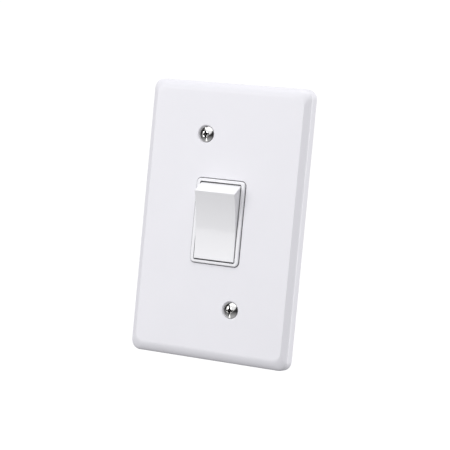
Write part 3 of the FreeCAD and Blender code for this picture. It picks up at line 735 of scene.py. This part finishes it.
@dataclass(frozen=True)
class Screw:
    """A machine screw with a real thread, drawn along +Z from under its head, then laid along Y."""

    head_facets: ClassVar[int] = 72
    rod_facets: ClassVar[int] = 48
    helix_steps: ClassVar[int] = 28
    pan_corner: ClassVar[float] = 0.62
    pan_chamfer: ClassVar[float] = 0.12
    dome_rings: ClassVar[int] = 16
    rim_height: ClassVar[float] = 0.08
    neck_overlap: ClassVar[float] = 0.3
    thread_share: ClassVar[float] = 0.61
    crest_share: ClassVar[float] = 0.15
    tip_chamfer: ClassVar[float] = 0.55
    tip_taper: ClassVar[float] = 0.75
    slot_half: ClassVar[float] = 0.4
    slot_depths: ClassVar[dict[Drive, float]] = {Drive.CROSS_AND_SLOT: 0.75, Drive.SLOT: 0.8}
    edge_round: ClassVar[float] = 0.045

    node: str
    slot: str
    head: Head
    drive: Drive
    head_radius: float
    head_height: float
    thread_radius: float
    thread_start: float
    length: float
    neck_radius: float
    pitch: float = 0.6
    lean: float = 0.0
    backwards: bool = False
    body: str = "switch_body"

    def pan_rings(self) -> list[tuple[float, float]]:
        """Works out a flat head with a round corner and a chamfer underneath.

        Returns:
            Radius and height of each ring, from the top down.
        """
        top, wide = self.head_height, self.head_radius
        rings = [(0.3 * wide, top), (0.6 * wide, top)]
        for step in range(7):
            turn = math.radians(step * 15)
            inwards, down = 1 - math.sin(turn), 1 - math.cos(turn)
            rings.append((wide - self.pan_corner * inwards, top - self.pan_corner * down))
        return rings + [(wide, self.pan_chamfer), (wide - self.pan_chamfer, 0.0), (self.neck_radius, 0.0)]

    def countersunk_rings(self) -> list[tuple[float, float]]:
        """Works out a domed head over a 90 degree cone.

        Returns:
            Radius and height of each ring, from the top down.
        """
        top, wide = self.head_height, self.head_radius
        dome = (wide ** 2 + top ** 2) / (2 * top)
        rings = []
        for step in range(1, self.dome_rings + 1):
            radius = wide * step / self.dome_rings
            rings.append((radius, top - dome + math.sqrt(dome ** 2 - radius ** 2)))
        cone = wide - self.neck_radius
        return rings + [(wide, -self.rim_height), (self.neck_radius, -self.rim_height - cone)]

    def head_rings(self) -> list[tuple[float, float]]:
        """Works out the head and the neck that reaches into the thread.

        Returns:
            Radius and height of each ring, from the top down.
        """
        rings = self.pan_rings() if self.head is Head.PAN else self.countersunk_rings()
        return rings + [(self.neck_radius, -self.thread_start - self.neck_overlap)]

    def cross_cutter(self) -> Work:
        """Models the tapered cross that sinks into the head.

        Returns:
            The cutter.
        """
        top = self.head_height + 0.3
        cutter = self.cross_arm("cross_arm", top, False)
        cutter.combine(self.cross_arm("cross_arm_level", top, True), "UNION")
        point = Work.lathe("cross_point", [(0.25, top - 2.35), (0.78, top - 1.75), (1.0, top)], 24)
        cutter.combine(point, "UNION")
        return cutter

    def slot_cutter(self) -> Work:
        """Models the block that cuts the slot.

        Returns:
            The cutter.
        """
        half, reach = self.slot_half, self.head_radius + 1.0
        foot = self.head_height - self.slot_depths[self.drive]
        return Work.block("slot", (-half, -reach, foot), (half, reach, self.head_height + 1.0))

    def cross_arm(self, name: str, top: float, level: bool) -> Work:
        """Models one bar of the cross, narrower towards its foot.

        Args:
            name: the object's name.
            top: the height of its upper end.
            level: whether it lies along X.

        Returns:
            The bar.
        """
        arm, reach = 0.44, 1.95
        size = (reach, arm) if level else (arm, reach)
        bar = Work.block(name, (-size[0], -size[1], top - 2.0), (size[0], size[1], top))
        with bar.editing(Kind.FACES):
            bar.pick(Kind.FACES, lambda middle: middle.z < top - 1.9)
            bar.resize((0.42, 0.62, 1.0) if level else (0.62, 0.42, 1.0))
        return bar

    def threaded_rod(self) -> Work:
        """Models the threaded shank: one tooth swept round in a helix, its ends cut square and chamfered.

        The cuts keep to their plane closely, since a wide threshold leaves the ends open.

        Returns:
            A closed solid along -Z.
        """
        depth = self.thread_share * self.pitch
        middle = self.thread_radius - depth / 2
        tip = -self.length
        turns = math.ceil((self.length - self.thread_start) / self.pitch) + 3
        bpy.ops.object.select_all(action="DESELECT")
        bpy.ops.mesh.primitive_plane_add(
            size=self.pitch * MM, rotation=(math.pi / 2, 0, 0),
            location=(middle * MM, 0, (tip - 1.5 * self.pitch) * MM))
        rod = Work("threaded_rod")
        rod.settle()
        inner, outer = middle - self.pitch / 2, middle + self.pitch / 2
        with rod.editing(Kind.EDGES):
            rod.pick(Kind.EDGES, lambda spot: abs(spot.x - outer) < 0.01)
            crest = (self.thread_radius * MM, 0.0, (tip - 1.5 * self.pitch) * MM)
            bpy.ops.transform.resize(value=(1.0, 1.0, self.crest_share), center_override=crest)
            bpy.ops.transform.translate(value=((self.thread_radius - outer) * MM, 0, 0))
            rod.pick(Kind.EDGES, lambda spot: abs(spot.x - inner) < 0.01)
            bpy.ops.transform.translate(value=((self.thread_radius - depth - inner) * MM, 0, 0))
            bpy.ops.mesh.delete(type="EDGE")
        step = rod.thing.modifiers.new("helix", "SCREW")
        step.angle = math.tau
        step.screw_offset = self.pitch * MM
        step.iterations = turns
        step.steps = step.render_steps = self.helix_steps
        step.use_merge_vertices = True
        step.merge_threshold = 0.002 * MM
        bpy.ops.object.modifier_apply(modifier=step.name)
        rod.face_outwards()
        for height, way in ((tip, -1.0), (-self.thread_start, 1.0)):
            with rod.editing(Kind.FACES):
                bpy.ops.mesh.select_all(action="SELECT")
                bpy.ops.mesh.bisect(
                    plane_co=(0, 0, height * MM), plane_no=(0, 0, way), use_fill=True, clear_outer=True,
                    threshold=SAME_POINT * MM)
        rod.face_outwards()
        wide, narrow = self.thread_radius + 0.2, self.thread_radius - self.tip_chamfer
        blank = [(wide, -self.thread_start + 0.1), (wide, tip + self.tip_taper), (narrow, tip - 0.001)]
        rod.combine(Work.lathe("blank", blank, self.rod_facets), "INTERSECT")
        return rod

    def build(self, material: bpy.types.Material) -> None:
        """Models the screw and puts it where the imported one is.

        Args:
            material: its finish.
        """
        screw = Work.lathe(self.node + "_look", self.head_rings(), self.head_facets)
        if self.drive is Drive.CROSS_AND_SLOT:
            screw.combine(self.cross_cutter(), "DIFFERENCE")
        screw.combine(self.slot_cutter(), "DIFFERENCE")
        screw.round_edges(self.edge_round, angle=28.0)
        screw.join(self.threaded_rod())
        low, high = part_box(self.node)
        turn = Matrix.Rotation(math.radians(-90 if self.backwards else 90), 4, "X")
        turn = turn @ Matrix.Rotation(math.radians(self.lean), 4, "Z")
        under = high.y - self.head_height * MM if self.backwards else low.y + self.head_height * MM
        screw.move(Vector(((low.x + high.x) / 2, under, (low.z + high.z) / 2)), turn)
        screw.finish(self.body, self.slot, material, self.node)


COVER = dict(slot="nickel_screw", head=Head.RAISED_COUNTERSUNK, drive=Drive.CROSS_AND_SLOT, head_radius=3.5,
             head_height=1.15, thread_radius=1.7, thread_start=2.6, length=9.0, neck_radius=1.5)
BOX = dict(slot="zinc_screw", head=Head.PAN, drive=Drive.SLOT, head_radius=3.2, head_height=1.9,
           thread_radius=1.75, thread_start=2.4, length=25.0, neck_radius=1.4)
TERMINAL = dict(slot="terminal_screw_steel", head=Head.PAN, drive=Drive.SLOT, head_radius=2.5,
                head_height=1.6, thread_radius=1.5, thread_start=0.2, length=2.0, neck_radius=1.2, pitch=0.5,
                backwards=True)
EARTH = dict(slot="brass_screw", head=Head.PAN, drive=Drive.SLOT, head_radius=3.1, head_height=1.8,
             thread_radius=1.7, thread_start=0.5, length=3.4, neck_radius=1.4, backwards=True)
SCREWS = (
    Screw("cover_screw_upper", lean=9.0, **COVER),
    Screw("cover_screw_lower", **COVER),
    Screw("box_screw_upper", **BOX),
    Screw("box_screw_lower", lean=34.0, **BOX),
    Screw("common_terminal_screw", lean=20.0, **TERMINAL),
    Screw("load_terminal_screw", lean=-52.0, **TERMINAL),
    Screw("earth_screw", lean=70.0, **EARTH),
)


# ---- Cover plate ----
@dataclass(frozen=True)
class CoverPlate:
    """The moulded cover: a shallow tray with rolled ends, two sunk screw holes and a window."""

    node: str = "cover_plate"
    side_bevel: float = 2.8
    end_roll: float = 4.6
    roll_depth: float = 2.4
    rim_round: float = 1.6
    bevel_corner: float = 0.93
    bevel_end: float = 1.14
    wall: float = 2.0
    corner: float = 4.2
    window: tuple[float, float, float] = (11.9, 18.33, 2.2)
    hole_radius: float = 2.0
    sink_radius: float = 4.0
    boss_radius: float = 3.9
    boss_reach: float = 2.1
    rib: tuple[float, float] = (1.2, 0.7)
    rib_side: float = 18.8
    rib_past_frame: float = 1.8
    rib_end_gap: float = 1.5
    roll_steps: int = 14

    def side_inset(self, depth: float) -> float:
        """Works out how far the long sides have come in.

        Args:
            depth: how far behind the front.

        Returns:
            The inset of each long side.
        """
        turn = self.bevel_corner
        if depth >= turn + self.rim_round:
            return 0.0
        if depth >= self.bevel_end:
            rise = turn + self.rim_round - depth
            return self.rim_round - math.sqrt(self.rim_round ** 2 - rise ** 2)
        return self.side_bevel + (self.side_inset(self.bevel_end) - self.side_bevel) * depth / self.bevel_end

    def rings(self) -> list[tuple[float, float, float]]:
        """Works out the rings of the rim, from the back forwards.

        Returns:
            Depth behind the front, side inset and end inset of each ring.
        """
        made = []
        for step in range(self.roll_steps + 1):
            angle = math.radians(90 * step / self.roll_steps)
            depth = self.roll_depth * (1 - math.sin(angle))
            made.append((depth, self.side_inset(depth), self.end_roll * (1 - math.cos(angle))))
        return made

    def build(self, material: bpy.types.Material) -> None:
        """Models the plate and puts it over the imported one.

        Args:
            material: its finish.
        """
        low, high = (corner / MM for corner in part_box(self.node))
        half_x, half_z, thick = high.x, high.z, -low.y
        plate = Work.outline("cover_plate_look", half_x, half_z, self.corner, 0.0)
        with plate.editing(Kind.FACES):
            bpy.ops.mesh.select_all(action="SELECT")
            last = (thick, 0.0, 0.0)
            for ring in self.rings():
                plate.pull((0.0, ring[0] - last[0], 0.0))
                across = (half_x - ring[1]) / (half_x - last[1])
                upright = (half_z - ring[2]) / (half_z - last[2])
                plate.resize((across, 1.0, upright))
                last = ring
        plate.face_outwards()
        plate.combine(self.hollow(half_x, half_z, thick), "DIFFERENCE")
        for rib in self.ribs(half_x, half_z, thick):
            plate.combine(rib, "UNION")
        for node in ("cover_screw_upper", "cover_screw_lower"):
            self.sink_hole(plate, node, thick)
        plate.combine(self.window_cutter(thick), "DIFFERENCE")
        plate.round_edges(0.12, angle=40.0)
        plate.finish("switch_body", "cover_plastic", material, self.node, 24.0)

    def hollow(self, half_x: float, half_z: float, thick: float) -> Work:
        """Models the space inside the tray, from behind the front wall to past the rim.

        Args:
            half_x: half the plate's width.
            half_z: half its height.
            thick: its depth.

        Returns:
            The cutter.
        """
        space = Work.outline("hollow", half_x - self.wall, half_z - self.wall, self.corner - self.wall, 1.0)
        with space.editing(Kind.FACES):
            bpy.ops.mesh.select_all(action="SELECT")
            space.pull((0.0, -(thick - self.wall) - 1.0, 0.0))
        space.face_outwards()
        return space

    def ribs(self, half_x: float, half_z: float, thick: float) -> list[Work]:
        """Models the stiffening ribs under the front wall.

        Args:
            half_x: half the plate's width.
            half_z: half its height.
            thick: its depth.

        Returns:
            The ribs.
        """
        broad, tall = self.rib
        front, back = -thick + self.wall - 0.2, -thick + self.wall + tall
        frame_top = (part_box("switch_frame")[1] / MM).z
        long_x, long_z = half_x - self.rib_end_gap, half_z - self.rib_end_gap
        made = []
        for sign in (-1, 1):
            x, z = sign * self.rib_side, sign * (frame_top + self.rib_past_frame)
            made.append(Work.block("rib", (x - broad / 2, front, -long_z), (x + broad / 2, back, long_z)))
            made.append(Work.block("rib", (-long_x, front, z - broad / 2), (long_x, back, z + broad / 2)))
        return made

    def sink_hole(self, plate: Work, node: str, thick: float) -> None:
        """Adds one screw's boss and cuts its hole and countersink.

        Args:
            plate: the plate so far.
            node: the screw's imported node.
            thick: the plate's depth.
        """
        low, high = (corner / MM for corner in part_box(node))
        place = Vector(((low.x + high.x) / 2, 0.0, (low.z + high.z) / 2)) * MM
        lay = Matrix.Rotation(math.radians(90), 4, "X")
        wall_y = thick - self.wall
        ends = [(self.boss_radius, wall_y + 0.3), (self.boss_radius, self.boss_reach - 0.1)]
        boss = Work.lathe("boss", ends, 48)
        boss.move(place, lay)
        plate.combine(boss, "UNION")
        sink = self.sink_radius - self.hole_radius
        rings = [(self.sink_radius + 0.5, thick + 0.5), (self.sink_radius, thick)]
        rings += [(self.hole_radius, thick - sink), (self.hole_radius, -1.0)]
        cutter = Work.lathe("sink", rings, 72)
        cutter.move(place, lay)
        plate.combine(cutter, "DIFFERENCE")

    def window_cutter(self, thick: float) -> Work:
        """Models the prism that cuts the window for the frame.

        Args:
            thick: the plate's depth.

        Returns:
            The cutter.
        """
        half_x, half_z, radius = self.window
        cutter = Work.outline("window", half_x, half_z, radius, 1.0)
        with cutter.editing(Kind.FACES):
            bpy.ops.mesh.select_all(action="SELECT")
            cutter.pull((0.0, -thick - 2.0, 0.0))
        cutter.face_outwards()
        return cutter


# ---- Studio ----
@dataclass(frozen=True)
class Studio:
    """Pale floor, soft boxes, sky and camera round the switch."""

    floor_drop: float = 0.9
    floor_side: float = 30.0
    floor_glow: float = 0.4
    azimuth: float = 28.036
    elevation: float = 2.519
    roll: float = 5.388
    distance: float = 0.77837
    aim: Vector = field(default_factory=lambda: Vector((0.003496, -0.0058, -0.00086)))
    focal_share: float = 4.0890667
    sensor: float = 36.0

    def lay_floor(self) -> None:
        """Lays the plain pale floor under the object."""
        bpy.ops.object.select_all(action="DESELECT")
        bpy.ops.mesh.primitive_plane_add(size=self.floor_side, location=(0.0, 0.0, -self.floor_drop))
        floor = bpy.context.object
        floor.name = "studio_floor"
        bpy.ops.object.transform_apply(location=True, rotation=True, scale=True)
        paper, wiring, shader = start_material("floor paper")
        grain = Grain.place(wiring, Fine_Size=4.0, Coarse_Size=60.0)
        pale = wiring.mix(grain.outputs["Coarse"], (0.95, 0.95, 0.95), (0.93, 0.93, 0.93))
        wiring.feed(shader, "Base Color", pale)
        wiring.feed(shader, "Roughness", 0.9)
        wiring.feed(shader, "Specular IOR Level", 0.1)
        wiring.feed(shader, "Emission Color", (1.0, 1.0, 1.0))
        wiring.feed(shader, "Emission Strength", self.floor_glow)
        floor.data.materials.append(paper)
        floor.visible_diffuse = False
        floor.visible_glossy = False

    def paint_sky(self) -> None:
        """Builds the surrounding: white to look at, softer and graded where it lights the object."""
        world = bpy.data.worlds.new("studio")
        world.use_nodes = True
        bpy.context.scene.world = world
        tree = world.node_tree
        tree.nodes.clear()
        wiring = Wiring(tree)
        ray = wiring.add("TexCoord").outputs["Generated"]
        _, back, rise = wiring.add("SeparateXYZ", {0: ray}).outputs
        height = wiring.span(rise, -1.0, 0.8, 0.13, 0.79)
        glow = wiring.add("Background", {"Color": (0.985, 0.98, 1.0), "Strength": height})
        pair = {0: ray, 1: heading(-9.0, 29.0)}
        ahead = wiring.add("VectorMath", pair, operation="DOT_PRODUCT").outputs["Value"]
        window = wiring.span(ahead, 0.81, 0.89, 0.0, 1.1)
        front = wiring.math("ADD", wiring.span(rise, -0.75, -0.12, 0.5, 0.04), window)
        mirrored = wiring.mix(wiring.span(back, -0.05, 0.3, 0.0, 1.0), front, height)
        mirror = wiring.add("Background", {"Color": (0.97, 0.98, 1.0), "Strength": mirrored})
        seen = wiring.add("Background", {"Color": (1.0, 1.0, 1.0), "Strength": 1.05})
        path = wiring.add("LightPath")
        shown = glow
        for kind, sky in (("Is Glossy Ray", mirror), ("Is Camera Ray", seen)):
            pair = {0: path.outputs[kind], 1: shown.outputs[0], 2: sky.outputs[0]}
            shown = wiring.add("MixShader", pair)
        wiring.add("OutputWorld", {"Surface": shown.outputs[0]})

    def hang_box(
            self, name: str, azimuth: float, elevation: float, distance: float,
            size: tuple[float, float], power: float) -> None:
        """Hangs a soft box that faces the switch.

        Args:
            name: the lamp's name.
            azimuth: degrees round from the front, towards +X.
            elevation: degrees up from level.
            distance: metres from the switch.
            size: width and height in metres.
            power: watts.
        """
        bpy.ops.object.light_add(type="AREA")
        lamp = bpy.context.object
        lamp.name = name
        lamp.data.shape = "RECTANGLE"
        lamp.data.size, lamp.data.size_y = size
        lamp.data.energy = power
        lamp.location = heading(azimuth, elevation) * distance
        lamp.rotation_euler = lamp.location.to_track_quat("Z", "Y").to_euler()

    def set_camera(self) -> None:
        """Sets the camera at its angle, turned a little about its own line of sight."""
        data = bpy.data.cameras.new("camera")
        data.sensor_width = self.sensor
        data.lens = self.focal_share * self.sensor
        data.clip_start = 0.01
        data.clip_end = 100.0
        camera = bpy.data.objects.new("camera", data)
        bpy.context.scene.collection.objects.link(camera)
        back = heading(self.azimuth, self.elevation)
        camera.location = self.aim + back * self.distance
        square = back.to_track_quat("Z", "Y")
        tilt = Matrix.Rotation(math.radians(self.roll), 4, "Z")
        camera.rotation_euler = (square.to_matrix().to_4x4() @ tilt).to_euler()
        bpy.context.scene.camera = camera

    def build(self) -> None:
        """Sets the whole studio up."""
        self.lay_floor()
        self.paint_sky()
        self.hang_box("left card", -34.0, 2.0, 1.3, (1.0, 0.84), 6.7)
        self.hang_box("overhead box", 10.0, 58.0, 1.2, (1.2, 0.9), 6.6)
        self.hang_box("right side box", 114.0, 4.0, 1.3, (0.6, 1.2), 8.8)
        self.set_camera()
        scene = bpy.context.scene
        scene.view_settings.view_transform = "Standard"
        scene.view_settings.look = "None"
        log.info("studio ready")


def heading(azimuth: float, elevation: float) -> Vector:
    """The unit vector towards a place round the object.

    Args:
        azimuth: degrees round from the front, towards +X.
        elevation: degrees up from level.

    Returns:
        The direction.
    """
    turn = math.radians(azimuth)
    rise = math.radians(elevation)
    return Vector((math.sin(turn) * math.cos(rise), -math.cos(turn) * math.cos(rise), math.sin(rise)))


def write_sizes() -> None:
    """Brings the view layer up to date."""
    bpy.context.view_layer.update()


def main() -> None:
    """Builds every finish and piece in order, then the studio."""
    logging.basicConfig(level=logging.INFO, format="%(message)s")
    made = {slot: finish.material() for slot, finish in FINISHES.items()}
    dress_nodes(made)
    CoverPlate().build(made["cover_plastic"])
    for screw in SCREWS:
        screw.build(made[screw.slot])
    Studio().build()
    write_sizes()


if __name__ == "__main__":
    main()
